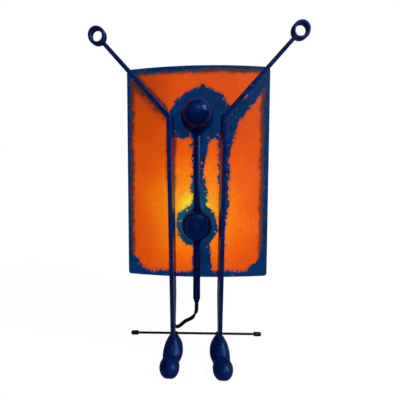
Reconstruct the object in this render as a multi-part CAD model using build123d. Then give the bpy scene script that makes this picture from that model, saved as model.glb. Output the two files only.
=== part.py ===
from build123d import *
from math import asin, atan2, cos, degrees, pi, radians, sin, sqrt, tan
import os

# A figure lamp: two bent flat bars are legs and raised arms, a leaning tube with two round knobs is the body,
# and a curved translucent screen with a bulb behind it glows at its back. Millimetres, Z up, X to the right,
# the viewer looks along +Y. The origin is the middle of the footprint, on the surface that the lamp stands on.
# Most pieces are drawn upright in the frame of the screen: Y is the distance behind the screen's front face
# and Z the distance up its slope. The lean is put on last.

# Fits and clearances
seat_gap = 0.05        # radial play of a tube, stud or shaft in its seat
sheet_gap = 0.1        # play between the rolled sheets
turn_gap = 0.4         # between a turning piece and what it turns against

# Screen
lean = 9.5             # degrees that the screen leans back
screen_foot = 29.4     # behind the legs' front edges, where the screen's slope meets the floor
screen_bottom = 99.6
screen_length = 295.0
screen_chord = 202.0
screen_bend = 454.0
screen_thick = 2.0
screen_corner = 4.0

# Limbs
leg_spread = 31.8      # from the middle of the lamp to the middle of a leg
bar_thick = 5.0
bar_depth = 45.0
bar_round = 0.8
shoulder_height = 316.65
shoulder_round = 3.0
knee_height = 72.0     # below it the leg's back edge slopes forward to the heel
heel_top = 27.0
heel_depth = 22.5
stand_off = 5.0        # the least room between the legs and the screen at the screws
arm_end_thick = 4.3
tang_front = 2.0
tang_depth = 11.0
tang_bottom = 8.0
tang_top = 15.0

# Hands
hand_x = 107.3
hand_height = 400.3
hand_outer = 19.0
hand_bore = 11.4
hand_depth = 8.5
hand_round = 1.6

# Shoes: distance along the shoe, middle, half width, lower edge, top, how narrow the top is, and how flat the sole
shoe_sections = [
    (24.0, 31.2, 5.5, 5.0, 18.0, 0.2, 0.74),
    (22.6, 31.2, 8.8, 2.2, 23.0, 0.6, 0.74),
    (18.5, 31.4, 11.4, 1.0, 28.0, 1.0, 0.74),
    (11.0, 31.4, 12.9, 1.0, 28.5, 1.0, 0.74),
    (4.0, 31.6, 13.4, 1.0, 25.5, 1.0, 0.74),
    (-2.5, 32.2, 12.8, 1.0, 19.8, 0.8, 0.74),
    (-8.0, 33.1, 11.8, 1.0, 15.4, 0.6, 0.74),
    (-11.5, 33.7, 11.4, 1.0, 14.2, 0.3, 0.74),
    (-14.5, 33.8, 11.4, 1.0, 17.4, 0.35, 0.76),
    (-18.0, 33.9, 12.4, 1.0, 19.6, 0.35, 0.80),
    (-22.5, 33.9, 12.9, 1.0, 20.2, 0.35, 0.80),
    (-27.0, 33.8, 12.4, 1.0, 19.6, 0.35, 0.76),
    (-31.0, 33.6, 10.9, 1.0, 18.2, 0.35, 0.68),
    (-34.5, 33.4, 8.3, 1.6, 15.9, 0.35, 0.56),
    (-37.0, 33.2, 5.2, 3.4, 12.8, 0.3, 0.58),
    (-38.4, 33.1, 2.4, 6.0, 10.2, 0.2, 0.60),
]
sole_thick = 1.0
sole_front = -30.0
sole_back = 20.0
sole_width = 15.0

# Rod behind the heels
rod_y = 49.4
rod_dia = 3.4
rod_length = 196.8
rod_turn = 1.4         # degrees, its left end forward
rod_slide = -1.3       # along X
tip_dia = 6.4
tip_length = 11.0
tip_wall = 1.5
strap_width = 8.0
strap_thick = 2.0
strap_front = 11.0
strap_eye = 5.6
eye_width = 5.0
strap_narrow = 26.0    # behind here the strap is as wide as its eye

# Screws
screw_dia = 3.0
screw_head_dia = 5.5
screw_head = 2.0
shoe_screw_y = 8.0
shoe_screw_length = 15.0
strap_screw_y = 17.5
strap_screw_length = 7.0
limb_screw_low = 106.6
limb_screw_high = 130.0
limb_screw_grip = 9.0
spacer_dia = 5.0

# Back plate, rolled like the screen
plate_thick = 2.0
plate_bottom = 101.6
plate_top = 350.0
plate_width = 12.0
foot_width = 120.0
foot_height = 10.0
tab_width = 10.0
tab_top = 136.0
head_plate_width = 52.0
head_plate_height = 20.0

# Spine
spine_front = 7.0      # the spine's axis, before the screen's front face
spine_dia = 10.0
spine_wall = 1.2
spine_bottom = 71.4
cap_length = 5.8
cap_end_dia = 6.2
lead_dia = 3.4
neck_length = 8.0
neck_flare = 4.5

# Belly
belly_height = 175.1
belly_radius = 21.2
belly_back_radius = 18.0
belly_front_radius = 19.2
belly_front = 11.8     # before the spine's axis
belly_wall = 2.5
base_thick = 2.0
base_radius = 16.0
knob_radius = 18.6
knob_rim = 1.8
knob_dome = 4.6
shaft_dia = 6.0
shaft_length = 14.8
bush_dia = 9.0
bush_length = 5.0
switch_radius = 11.0
switch_depth = 9.3
nut_thick = 2.5
nipple_dia = 10.0
nipple_bore = 6.5
nipple_front = 5.0
nipple_back = 9.5

# Head
head_height = 323.5
head_radius = 21.5
head_back_radius = 13.0
head_front_radius = 16.5
head_front = 20.0      # before the spine's axis
head_wall = 2.6
head_back_wall = 3.5
ball_radius = 18.7
ball_middle = 18.7
stud_dia = 6.0
stud_front = 30.5
stud_back = 10.0
head_nut_thick = 5.0

# Lamp holder and bulb
bulb_back = 40.0       # the bulb's axis, behind the screen's front face
bulb_height = 201.4
globe_radius = 22.5
globe_wall = 0.8
bulb_length = 78.0
bulb_cap_length = 26.0
bulb_thread_dia = 13.8
bulb_collar_dia = 16.0
holder_dia = 27.0
holder_wall = 2.0
holder_length = 38.0
holder_floor = 3.0
sleeve_wall = 0.6
contact_gap = 0.3
contact_thick = 1.2
insert_floor = 10.4    # the insert's material under the contact
insert_room = 5.0      # over the shell's floor, for the nut and the lead
shelf_thick = 2.0
shelf_width = 20.0
shelf_end = 52.0
bracket_rise = 19.0    # over the shelf's underside
bracket_screw_low = 7.0
bracket_screw_high = 14.5
holder_nipple_length = 14.0
bulb_tip = bulb_height + globe_radius - bulb_length
contact_z = bulb_tip - contact_gap
insert_bottom = contact_z - contact_thick - insert_floor
shelf_top = insert_bottom - insert_room - holder_floor
shelf_height = shelf_top - shelf_thick

# Cord
cord_width = 5.4
cord_thick = 2.7
coil_turns = 4
coil_outer = 32.3
coil_pitch = 3.2
coil_lift = 5.9
coil_leave = 45.0      # degrees, where the upper layer lets go of the ring
coil_tail = 12.0       # straight ends of the wound cord
plug_length = 38.0
plug_width = 35.0
plug_thick = 14.0
plug_nose = 24.0
pin_dia = 4.0
pin_length = 19.0
pin_pitch = 19.0

shoe_tip = shoe_sections[-1][0]
globe_y = screen_foot + bulb_height * sin(radians(lean)) + bulb_back * cos(radians(lean))
middle_y = (shoe_tip + globe_y + globe_radius) / 2

standing = Pos(0, -middle_y, 0)
leaning = Pos(0, screen_foot - middle_y, 0) * Rot(X=-lean)

parts = {}


def upright(radius, length, x, y, z):
    return Pos(x, y, z) * Cylinder(radius, length, align=(Align.CENTER, Align.CENTER, Align.MIN))


def level(radius, x, z, y0, y1):
    bar = Cylinder(radius, y1 - y0, align=(Align.CENTER, Align.CENTER, Align.MIN))
    return Pos(x, y0, z) * Rot(X=-90) * bar


def crosswise(radius, y, z, x0, x1):
    bar = Cylinder(radius, x1 - x0, align=(Align.CENTER, Align.CENTER, Align.MIN))
    return Pos(x0, y, z) * Rot(Y=90) * bar


def block(x0, x1, y0, y1, z0, z1):
    return Pos((x0 + x1) / 2, (y0 + y1) / 2, (z0 + z1) / 2) * Box(x1 - x0, y1 - y0, z1 - z0)


def level_nut(across, bore, x, z, y0, thick):
    ring = RegularPolygon(across / 2, 6, major_radius=False) - Circle(bore / 2)
    return Pos(x, y0, z) * Rot(X=-90) * extrude(ring, thick)


def turned(edges, z, y):
    """A profile of (distance from the axis, distance to the front) turned round an axis that points forward."""
    face = make_face(edges)
    body = revolve(Plane.XZ * face, Axis.Z)
    return Pos(0, y, z) * Rot(X=90) * body


def mirrored(solid):
    return mirror(solid, Plane.YZ)


# The screen and the plate behind it


def rolled(outline, front, thick):
    """A flat outline, cut out of a sheet that is rolled on the screen's axis."""
    outer = screen_bend - front
    ring = Pos(0, screen_bend) * (Circle(outer) - Circle(outer - thick))
    strip = Rectangle(screen_chord + 20, 120)
    sheet = extrude(ring & strip, screen_bottom + screen_length + 20)
    cutter = Pos(0, 60, 0) * extrude(Plane.XZ * outline, 120)
    return sheet & cutter


def rectangle_at(x0, x1, z0, z1):
    return Pos((x0 + x1) / 2, (z0 + z1) / 2) * Rectangle(x1 - x0, z1 - z0)


screw_heights = [limb_screw_low, limb_screw_high]
plate_front = screen_thick + sheet_gap
plate_back = plate_front + plate_thick


def edge_drop(x, front):
    """How far the rolled sheet's face lies further back at x than in the middle."""
    radius = screen_bend - front
    return radius - sqrt(radius * radius - x * x)


def plate_holes():
    cuts = [level(stud_dia / 2 + seat_gap, 0, head_height, -5, 20)]
    cuts.append(level(nipple_dia / 2 + seat_gap, 0, belly_height, -5, 20))
    for x in (-leg_spread, leg_spread):
        for z in screw_heights:
            cuts.append(level(screw_dia / 2 + seat_gap, x, z, -5, 20))
    return cuts


def make_screen():
    outline = RectangleRounded(screen_chord, screen_length, screen_corner)
    sheet = rolled(Pos(0, screen_bottom + screen_length / 2) * outline, 0, screen_thick)
    for cut in plate_holes():
        sheet -= cut
    return sheet


bracket_screws_z = [shelf_height + bracket_screw_low, shelf_height + bracket_screw_high]


def make_back_plate():
    half = plate_width / 2
    outline = rectangle_at(-half, half, plate_bottom, plate_top)
    outline += rectangle_at(-foot_width / 2, foot_width / 2, plate_bottom, plate_bottom + foot_height)
    for x in (-leg_spread, leg_spread):
        outline += rectangle_at(x - tab_width / 2, x + tab_width / 2, plate_bottom, tab_top)
    middle = head_height
    wide = head_plate_width / 2
    outline += rectangle_at(-wide, wide, middle - head_plate_height / 2, middle + head_plate_height / 2)
    outline += Pos(0, belly_height) * Circle(base_radius)
    outline = fillet(outline.vertices(), 1.5)
    plate = rolled(outline, plate_front, plate_thick)
    for cut in plate_holes():
        plate -= cut
    for z in bracket_screws_z:
        plate -= level(screw_dia / 2, 0, z, -5, 20)
    return plate


# Limbs, hands, shoes and rod, drawn in the standing frame with the legs' front edges at Y 0

arm_angle = atan2(hand_x - leg_spread, hand_height - shoulder_height)
arm_length = sqrt((hand_x - leg_spread) ** 2 + (hand_height - shoulder_height) ** 2)
along = Vector(sin(arm_angle), 0, cos(arm_angle))
across = Vector(cos(arm_angle), 0, -sin(arm_angle))


def limb_front_outline():
    half = bar_thick / 2
    mitre = half * tan(arm_angle / 2)
    end = Vector(hand_x, 0, hand_height) - along * (hand_outer / 2 - hand_round + 0.1)
    low = end + across * (arm_end_thick / 2)
    high = end - across * (arm_end_thick / 2)
    points = [(leg_spread + half, tang_bottom), (leg_spread + half, shoulder_height - mitre)]
    points += [(low.X, low.Z), (high.X, high.Z)]
    points += [(leg_spread - half, shoulder_height + mitre), (leg_spread - half, tang_bottom)]
    face = make_face(Polyline(points, close=True))
    bends = [v for v in face.vertices() if abs(v.Y - shoulder_height) < 3]
    return fillet(bends, shoulder_round)


def back_cut():
    """What is cut away behind the leg, down to its tang in the shoe."""
    far = bar_depth + 20
    tang_back = tang_front + tang_depth
    points = [(bar_depth, knee_height), (heel_depth, heel_top), (heel_depth, tang_top)]
    points += [(tang_back, tang_top), (tang_back, 0), (far, 0), (far, knee_height)]
    return extrude(Plane.YZ * make_face(Polyline(points, close=True)), leg_spread * 2)


def arm_cut():
    """The wedge behind the arm, which is as deep as the ring at its end."""
    plane = Plane(origin=(leg_spread, 0, shoulder_height), x_dir=along, z_dir=across * -1)
    far = bar_depth + 20
    reach = arm_length + 20
    slope = (bar_depth - hand_depth) / (arm_length - hand_outer / 2 - 4)
    deep = bar_depth - slope * (reach - 4)
    points = [(4, bar_depth), (reach, deep), (reach, far), (4, far)]
    face = make_face(Polyline(points, close=True))
    return extrude(plane * face, bar_thick * 3, both=True)


def make_hand():
    wide = (hand_outer - hand_bore) / 2
    section = Pos((hand_outer + hand_bore) / 4, 0) * RectangleRounded(wide, hand_depth, hand_round)
    ring = revolve(Plane.XZ * section, Axis.Z)
    return Pos(hand_x, hand_depth / 2, hand_height) * Rot(X=90) * ring


def limb_bores():
    cuts = []
    for z in screw_heights:
        start = screw_start(z)
        bore = level(screw_dia / 2, leg_spread, z, start - limb_screw_grip - 1, 5)
        cuts.append(Pos(0, screen_foot, 0) * Rot(X=-lean) * bore)
    cuts.append(upright(screw_dia / 2, shoe_screw_length - tang_bottom + 3, leg_spread, shoe_screw_y, tang_bottom))
    return cuts


def screw_start(z):
    """The limb's back edge at a screw, as a distance behind the screen's front face."""
    slope = radians(lean)
    low = edge_drop(leg_spread, 0) - stand_off
    high = ((bar_depth - screen_foot) - z * sin(slope)) / cos(slope)
    return min(low, high)


def make_limb(hand):
    bar = Pos(0, bar_depth, 0) * extrude(Plane.XZ * limb_front_outline(), bar_depth)
    bar = bar - back_cut() - arm_cut()
    bar -= block(0, leg_spread * 2, -1, tang_front, 0, tang_top)
    bar = fillet([e for e in bar.edges() if e.length > 18], bar_round)
    for cut in limb_bores():
        bar -= cut
    return bar - hand


def shoe_section(y, x, half, low, high, peak, flat):
    rise = high - low
    right = [(x + flat * half, low), (x + 0.97 * half, low + (0.22 - 0.04 * peak) * rise)]
    right += [(x + half, low + (0.42 - 0.08 * peak) * rise)]
    right += [(x + (0.86 - 0.22 * peak) * half, low + 0.74 * rise)]
    right += [(x + (0.5 - 0.20 * peak) * half, low + (0.95 - 0.01 * peak) * rise)]
    left = [(2 * x - px, pz) for px, pz in reversed(right)]
    upper = Spline(right + [(x, high)] + left)
    lower = Line(left[-1], right[0])
    return Plane(origin=(0, y, 0), x_dir=(1, 0, 0), z_dir=(0, -1, 0)) * make_face([upper, lower])


strap_bottom = sole_thick
eye_z = tip_dia / 2


def strap_tongue(clear):
    half = strap_width / 2 + clear
    return block(leg_spread - half, leg_spread + half, strap_front - clear, rod_y, 0, strap_bottom + strap_thick)


def make_shoe(limb):
    shoe = loft([shoe_section(*values) for values in shoe_sections])
    shoe &= block(0, 100, -100, 100, sole_thick, 100)
    shoe -= limb
    shoe -= strap_tongue(seat_gap)
    head = screw_head + sole_thick
    shoe -= upright(screw_head_dia / 2 + seat_gap, head, leg_spread, shoe_screw_y, 0)
    shoe -= upright(screw_dia / 2, shoe_screw_length + 4, leg_spread, shoe_screw_y, 0)
    shoe -= upright(screw_dia / 2, sole_thick + screw_head / 2 + strap_screw_length, leg_spread, strap_screw_y, 0)
    return shoe


def make_sole():
    length = sole_back - sole_front
    pad = extrude(SlotOverall(length, sole_width, rotation=90), sole_thick)
    return Pos(leg_spread + 0.8, (sole_front + sole_back) / 2, 0) * pad


def make_shoe_screw():
    head = upright(screw_head_dia / 2, screw_head, leg_spread, shoe_screw_y, sole_thick)
    return head + upright(screw_dia / 2, shoe_screw_length, leg_spread, shoe_screw_y, sole_thick)


def make_strap_screw():
    head = upright(screw_head_dia / 2, screw_head / 2, leg_spread, strap_screw_y, sole_thick)
    return head + upright(screw_dia / 2, strap_screw_length, leg_spread, strap_screw_y, sole_thick)


def rod_placed(solid, turn=rod_turn):
    return Pos(0, rod_y, 0) * Rot(Z=turn) * Pos(0, -rod_y, 0) * solid


def make_strap(turn):
    half = eye_width / 2
    strap = strap_tongue(0) & block(0, 100, 0, 100, strap_bottom, 100)
    for side in (-1, 1):
        beyond = leg_spread + side * strap_width
        strap -= block(min(beyond, leg_spread + side * half), max(beyond, leg_spread + side * half), strap_narrow, 100, 0, 100)
    strap += rod_placed(crosswise(strap_eye / 2, rod_y, eye_z, leg_spread - half, leg_spread + half), turn)
    strap -= rod_placed(crosswise(rod_dia / 2 + seat_gap, rod_y, eye_z, 0, 100), turn)
    strap -= upright(screw_head_dia / 2 + seat_gap, screw_head / 2 + sole_thick, leg_spread, strap_screw_y, 0)
    strap -= upright(screw_dia / 2 + seat_gap, 10, leg_spread, strap_screw_y, 0)
    return strap


def make_rod():
    end = rod_length / 2 - tip_wall
    return rod_placed(Pos(rod_slide, 0, 0) * crosswise(rod_dia / 2, rod_y, eye_z, -end, end))


def make_tip(side):
    end = rod_length / 2
    tip = crosswise(tip_dia / 2, rod_y, eye_z, end - tip_length, end)
    tip = fillet(tip.edges().filter_by(GeomType.CIRCLE).sort_by(Axis.X)[-1], tip_dia * 0.45)
    tip -= crosswise(rod_dia / 2 + seat_gap, rod_y, eye_z, 0, end - tip_wall + seat_gap)
    return rod_placed(Pos(rod_slide, 0, 0) * (tip if side > 0 else mirrored(tip)))


def limb_screws(x):
    screws = []
    back = plate_back + edge_drop(abs(x) + screw_head_dia / 2, plate_back)
    for z in screw_heights:
        start = screw_start(z) - limb_screw_grip
        shank = level(screw_dia / 2, x, z, start, back + sheet_gap)
        head = level(screw_head_dia / 2, x, z, back + sheet_gap, back + sheet_gap + screw_head)
        screws.append(shank + head)
    return screws


def limb_spacers(limb):
    tubes = []
    for z in screw_heights:
        front = edge_drop(leg_spread - spacer_dia / 2, 0)
        tube = level(spacer_dia / 2, leg_spread, z, screw_start(z) - 3, front)
        tube -= level(screw_dia / 2 + seat_gap, leg_spread, z, -60, 20)
        tube = Pos(0, screen_foot, 0) * Rot(X=-lean) * tube - limb
        tubes.append(tube.solids().sort_by(Axis.Y)[-1])
    return tubes


# Spine, belly and head, drawn in the screen's frame

bore_radius = spine_dia / 2 - spine_wall
axis_y = -spine_front


def neck(z, side):
    """The concave collar where the spine runs into a knob."""
    inner = spine_dia / 2
    start = z + side * (head_radius - 3)
    end = start + side * neck_length
    wide = inner + neck_flare
    curve = Spline([(wide, start), (inner + 0.3, end)], tangents=[(-0.55, side * 0.85), (0, side)])
    edges = [curve, Line((inner + 0.3, end), (0, end)), Line((0, end), (0, start)), Line((0, start), (wide, start))]
    collar = Pos(0, axis_y, 0) * revolve(Plane.XZ * make_face(edges), Axis.Z)
    return collar & block(-wide, wide, axis_y - wide, -sheet_gap, min(start, end), max(start, end))


def spine_hole(z0, z1):
    return upright(spine_dia / 2 + seat_gap, z1 - z0, 0, axis_y, z0)


def spine_tube(z0, z1):
    return upright(spine_dia / 2, z1 - z0, 0, axis_y, z0) - upright(bore_radius, z1 - z0, 0, axis_y, z0)


tube_in = 4.0          # how far a spine tube reaches into a knob


def make_cap():
    plug = upright(bore_radius - seat_gap, 8, 0, axis_y, spine_bottom)
    cone = Cone(cap_end_dia / 2, spine_dia / 2, cap_length, align=(Align.CENTER, Align.CENTER, Align.MIN))
    cap = Pos(0, axis_y, spine_bottom - cap_length) * cone + plug
    return cap - upright(lead_dia / 2 + seat_gap, 40, 0, axis_y, spine_bottom - cap_length)


def shell_edges(back, back_r, wide_r, front, front_r):
    """Outer profile of a knob's fixed part, from its flat back to its front edge."""
    side = Spline([(back_r, back), (wide_r, 0), (front_r, front)], tangents=[(1, 0.35), (-0.16, 1)])
    bottom = Line((0, back), (back_r, back))
    top = Line((front_r, front), (0, front))
    return [bottom, side, top, Line((0, front), (0, back))]


def make_housing():
    edges = shell_edges(-spine_front + sheet_gap, belly_back_radius, belly_radius, belly_front, belly_front_radius)
    shell = turned(edges, belly_height, axis_y)
    shell += neck(belly_height, 1) + neck(belly_height, -1)
    inner = belly_front - belly_wall
    shell -= level(belly_radius - belly_wall - 0.9, 0, belly_height, axis_y - inner, -base_thick)
    shell -= level(base_radius + seat_gap, 0, belly_height, -base_thick - 1, 1)
    shell -= level(bush_dia / 2 + seat_gap, 0, belly_height, -60, axis_y)
    shell -= spine_hole(belly_height + belly_radius - tube_in, belly_height + 60)
    return shell - spine_hole(belly_height - 60, belly_height - belly_radius + tube_in)


def make_base():
    disc = level(base_radius, 0, belly_height, -base_thick, -sheet_gap)
    return disc - level(nipple_dia / 2 + seat_gap, 0, belly_height, -20, 20)


switch_front = belly_front - belly_wall
shaft_start = belly_front + turn_gap + knob_rim + knob_dome - 1.6 - shaft_length


def make_switch():
    body = level(switch_radius, 0, belly_height, axis_y - switch_front, axis_y - switch_front + switch_depth)
    body += level(bush_dia / 2, 0, belly_height, axis_y - switch_front - bush_length, axis_y)
    return body - level(shaft_dia / 2 + seat_gap, 0, belly_height, -60, axis_y - shaft_start + 0.1)


def make_shaft():
    front = shaft_start + shaft_length
    return level(shaft_dia / 2, 0, belly_height, axis_y - front, axis_y - shaft_start)


def make_knob():
    back = belly_front + turn_gap
    rim = back + knob_rim
    top = rim + knob_dome
    dome = Spline([(knob_radius, rim), (0, top)], tangents=[(-0.75, 0.66), (-1, 0)])
    edges = [Line((0, back), (knob_radius - 0.6, back)), Line((knob_radius - 0.6, back), (knob_radius, back + 0.6))]
    edges += [Line((knob_radius, back + 0.6), (knob_radius, rim)), dome, Line((0, top), (0, back))]
    knob = turned(edges, belly_height, axis_y)
    recess = bush_dia / 2 + 4.5
    deep = switch_front + bush_length + 0.6
    knob -= level(recess, 0, belly_height, axis_y - deep, axis_y)
    return knob - level(shaft_dia / 2 + seat_gap, 0, belly_height, axis_y - (top - 1.5), axis_y)


def make_head_cup():
    edges = shell_edges(-spine_front + sheet_gap, head_back_radius, head_radius, head_front, head_front_radius)
    cup = turned(edges, head_height, axis_y) + neck(head_height, -1)
    floor = -spine_front + head_back_wall
    mouth = head_front_radius - head_wall
    wide = head_radius - head_wall - 0.6
    points = [(0, floor), (head_back_radius, floor), (wide, 1.5), (wide, 5), (mouth, head_front + 1), (0, head_front + 1)]
    cup -= turned([Polyline(points, close=True)], head_height, axis_y)
    cup -= level(stud_dia / 2 + seat_gap, 0, head_height, -60, 5)
    return cup - spine_hole(head_height - 60, head_height - head_radius + tube_in)


def make_ball():
    mouth = head_front_radius - head_wall - turn_gap
    back = head_front + turn_gap
    ball = Pos(0, axis_y - ball_middle, head_height) * Sphere(ball_radius)
    ball &= block(-50, 50, axis_y - ball_middle - 50, axis_y - back, head_height - 50, head_height + 50)
    ball += level(mouth, 0, head_height, axis_y - back, axis_y - back + 2.5)
    return ball - level(stud_dia / 2 + seat_gap, 0, head_height, axis_y - stud_front - 0.5, axis_y)


def make_stud():
    return level(stud_dia / 2, 0, head_height, axis_y - stud_front, stud_back)


def make_head_nuts():
    inside = level_nut(10, stud_dia, 0, head_height, -head_back_wall - head_nut_thick, head_nut_thick)
    outside = level_nut(10, stud_dia, 0, head_height, plate_back + sheet_gap, head_nut_thick)
    return [inside, outside]


def make_nipple():
    tube = level(nipple_dia / 2, 0, belly_height, -nipple_front, nipple_back)
    return tube - level(nipple_bore / 2, 0, belly_height, -20, 20)


def make_belly_nuts():
    inside = level_nut(14, nipple_dia, 0, belly_height, -base_thick - nut_thick, nut_thick)
    outside = level_nut(14, nipple_dia, 0, belly_height, plate_back + sheet_gap, nut_thick)
    return [inside, outside]


# Lamp holder and bulb, on the back plate


def make_bracket():
    front = plate_back + sheet_gap
    half = plate_width / 2
    leg = block(-half, half, front, front + shelf_thick, shelf_height, shelf_height + bracket_rise)
    wide = shelf_width / 2
    shelf = block(-wide, wide, front, shelf_end, shelf_height, shelf_top)
    bracket = leg + shelf
    bracket -= upright(nipple_dia / 2 + seat_gap, 20, 0, bulb_back, shelf_height - 5)
    for z in bracket_screws_z:
        bracket -= level(screw_dia / 2 + seat_gap, 0, z, 0, 20)
    return bracket


def make_bracket_screws():
    back = plate_back + sheet_gap + shelf_thick
    screws = []
    for z in bracket_screws_z:
        shank = level(screw_dia / 2, 0, z, plate_front, back)
        screws.append(shank + level(screw_head_dia / 2, 0, z, back, back + screw_head))
    return screws


def make_holder_shell():
    inner = holder_dia / 2 - holder_wall
    shell = upright(holder_dia / 2, holder_length, 0, bulb_back, shelf_top)
    shell = fillet(shell.edges().filter_by(GeomType.CIRCLE).sort_by(Axis.Z)[-1], 1.0)
    shell -= upright(inner, holder_length, 0, bulb_back, shelf_top + holder_floor)
    return shell - upright(nipple_dia / 2 + seat_gap, 10, 0, bulb_back, shelf_top - 1)


sleeve_inner = bulb_thread_dia / 2 + turn_gap
sleeve_outer = sleeve_inner + sleeve_wall


def make_holder_insert():
    inner = holder_dia / 2 - holder_wall - seat_gap
    top = shelf_top + holder_length - 3
    core = upright(inner, top - insert_bottom, 0, bulb_back, insert_bottom)
    core -= upright(sleeve_outer + seat_gap, holder_length, 0, bulb_back, contact_z - contact_thick)
    return core - upright(lead_dia / 2 + seat_gap, holder_length, 0, bulb_back, insert_bottom - 1)


def make_holder_sleeve():
    top = shelf_top + holder_length - 3
    tube = upright(sleeve_outer, top - contact_z - 1, 0, bulb_back, contact_z + 1)
    return tube - upright(sleeve_inner, holder_length, 0, bulb_back, contact_z - 5)


def make_holder_contact():
    strip = block(-2, 2, bulb_back - 5, bulb_back + 5, contact_z - contact_thick, contact_z)
    return fillet(strip.edges().filter_by(Axis.Z), 1.0)


def make_holder_nipple():
    low = shelf_height - nut_thick - 2
    tube = upright(nipple_dia / 2, holder_nipple_length, 0, bulb_back, low)
    return tube - upright(nipple_bore / 2, holder_nipple_length, 0, bulb_back, low)


def make_holder_nuts():
    ring = RegularPolygon(7, 6, major_radius=False) - Circle(nipple_dia / 2)
    low = Pos(0, bulb_back, shelf_height - nut_thick) * extrude(ring, nut_thick)
    high = Pos(0, bulb_back, shelf_top + holder_floor) * extrude(ring, nut_thick)
    return [low, high]


def glass_profile(radius, shrink):
    """The bulb's outline from its neck to its top, as (distance from its axis, height)."""
    neck_r = bulb_collar_dia / 2 - 0.6 - shrink
    start = bulb_tip + bulb_cap_length
    angle = radians(-38)
    meet = (radius * cos(angle), bulb_height + radius * sin(angle))
    side = Spline([(neck_r, start), (neck_r, start + 3), meet], tangents=[(0, 1), (sin(-angle), cos(angle))])
    arc = ThreePointArc(meet, (radius * cos(pi / 5), bulb_height + radius * sin(pi / 5)), (0, bulb_height + radius))
    return [Line((0, start), (neck_r, start)), side, arc, Line((0, bulb_height + radius), (0, start))]


def make_glass():
    outer = revolve(Plane.XZ * make_face(glass_profile(globe_radius, 0)), Axis.Z)
    inner = revolve(Plane.XZ * make_face(glass_profile(globe_radius - globe_wall, globe_wall)), Axis.Z)
    return Pos(0, bulb_back, 0) * (outer - inner)


def make_bulb_cap():
    low = bulb_tip
    points = [(0, low), (2.4, low), (3.2, low + 1.2), (bulb_thread_dia / 2 - 0.8, low + 4.5)]
    base = low + 4.5
    steps = 6
    pitch = (bulb_cap_length - 10) / steps
    for i in range(steps):
        points.append((bulb_thread_dia / 2 - 0.8, base + i * pitch))
        points.append((bulb_thread_dia / 2, base + (i + 0.5) * pitch))
    top = base + steps * pitch
    points += [(bulb_thread_dia / 2 - 0.8, top), (bulb_collar_dia / 2, low + bulb_cap_length - 1.5)]
    points += [(bulb_collar_dia / 2, low + bulb_cap_length), (0, low + bulb_cap_length)]
    clean = [points[0]]
    for point in points[1:]:
        if point != clean[-1]:
            clean.append(point)
    cap = revolve(Plane.XZ * make_face(Polyline(clean, close=True)), Axis.Z)
    return Pos(0, bulb_back, 0) * cap


def make_stem():
    start = bulb_tip + bulb_cap_length
    stem = upright(3.0, 12, 0, 0, start)
    stem += Pos(0, 0, start + 12) * Cone(3.0, 1.2, 5, align=(Align.CENTER, Align.CENTER, Align.MIN))
    path = Polyline([(-1.0, 0, start + 15), (-9, 0, bulb_height + 2), (9, 0, bulb_height + 2), (1.0, 0, start + 15)])
    for edge in path.edges():
        run = edge.end_point() - edge.start_point()
        plane = Plane(origin=edge.start_point(), z_dir=run)
        stem += extrude(plane * Circle(0.4), run.length)
    stem += Pos(-9, 0, bulb_height + 2) * Sphere(0.45)
    stem += Pos(9, 0, bulb_height + 2) * Sphere(0.45)
    return Pos(0, bulb_back, 0) * stem


# Cord


def bend_radii(points, name):
    """The largest arc that the runs beside each point leave room for."""
    radii = []
    for a, b, c in zip(points, points[1:], points[2:]):
        one = Vector(*b) - Vector(*a)
        two = Vector(*c) - Vector(*b)
        turn = radians(one.get_angle(two))
        radii.append(0.45 * min(one.length, two.length) / tan(turn / 2))
    print(name, "bend radii", [round(r, 1) for r in radii])
    return radii


def cord_tube(points, diameter, name):
    path = FilletPolyline(points, radius=bend_radii(points, name))
    start = Plane(origin=path @ 0, z_dir=path % 0)
    tube = sweep(start * Circle(diameter / 2), path)
    ideal = path.length * pi * diameter * diameter / 4
    print(name, "length", round(path.length, 1), "volume", round(tube.volume, 1), "ideal", round(ideal, 1))
    return tube


def to_room(point):
    """A point of the screen's frame in the standing frame."""
    spot = Pos(0, screen_foot, 0) * Rot(X=-lean) * Pos(*point)
    return spot.position.X, spot.position.Y, spot.position.Z


cord_low = cord_width / 2
coil_x = -20.2
coil_y = 284.0
coil_start = (coil_x - coil_outer, coil_y, cord_low)
coil_inner = coil_outer - coil_pitch * (2 * coil_turns - 1) / 2 - coil_pitch / 2
coil_last = coil_outer - coil_pitch / 4
leave = radians(coil_leave)
coil_end_x = coil_x + coil_pitch / 4 + coil_last * cos(leave)
coil_end = (coil_end_x, coil_y + coil_last * sin(leave), cord_low + coil_lift)
coil_foot = (coil_start[0], coil_y - coil_tail, cord_low)
coil_exit = (coil_end[0] + coil_tail * sin(leave), coil_end[1] - coil_tail * cos(leave), coil_end[2])
plug_back = (37.0, 288.6, plug_thick / 2)

cord_points = [
    to_room((0, axis_y, spine_bottom - cap_length)),
    to_room((0, axis_y, spine_bottom - cap_length - 10.0)),
    (-1.9, 35.6, 44.5),
    (-8.4, 43.5, 30.0),
    (-18.5, 51.0, 20.0),
    (-31.5, 61.0, 3.9),
    (-36.6, 78.0, cord_low),
    (-38.6, 104.0, cord_low),
    (-42.4, 150.0, cord_low),
    (-48.4, 208.0, cord_low),
    (coil_start[0], 246.0, cord_low),
    coil_foot,
]

end_points = [
    coil_exit,
    (coil_exit[0] + 5.8, coil_exit[1] - 5.8, coil_exit[2]),
    (26.0, plug_back[1], plug_back[2]),
    plug_back,
]


def half_turn(start, end):
    """Half a circle in the level plane, clockwise seen from above."""
    middle = ((start[0] + end[0]) / 2, (start[1] + end[1]) / 2)
    radius = sqrt((start[0] - end[0]) ** 2 + (start[1] - end[1]) ** 2) / 2
    side = 1 if start[0] < end[0] else -1
    return ThreePointArc(start, (middle[0], middle[1] + side * radius, start[2]), end)


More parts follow.
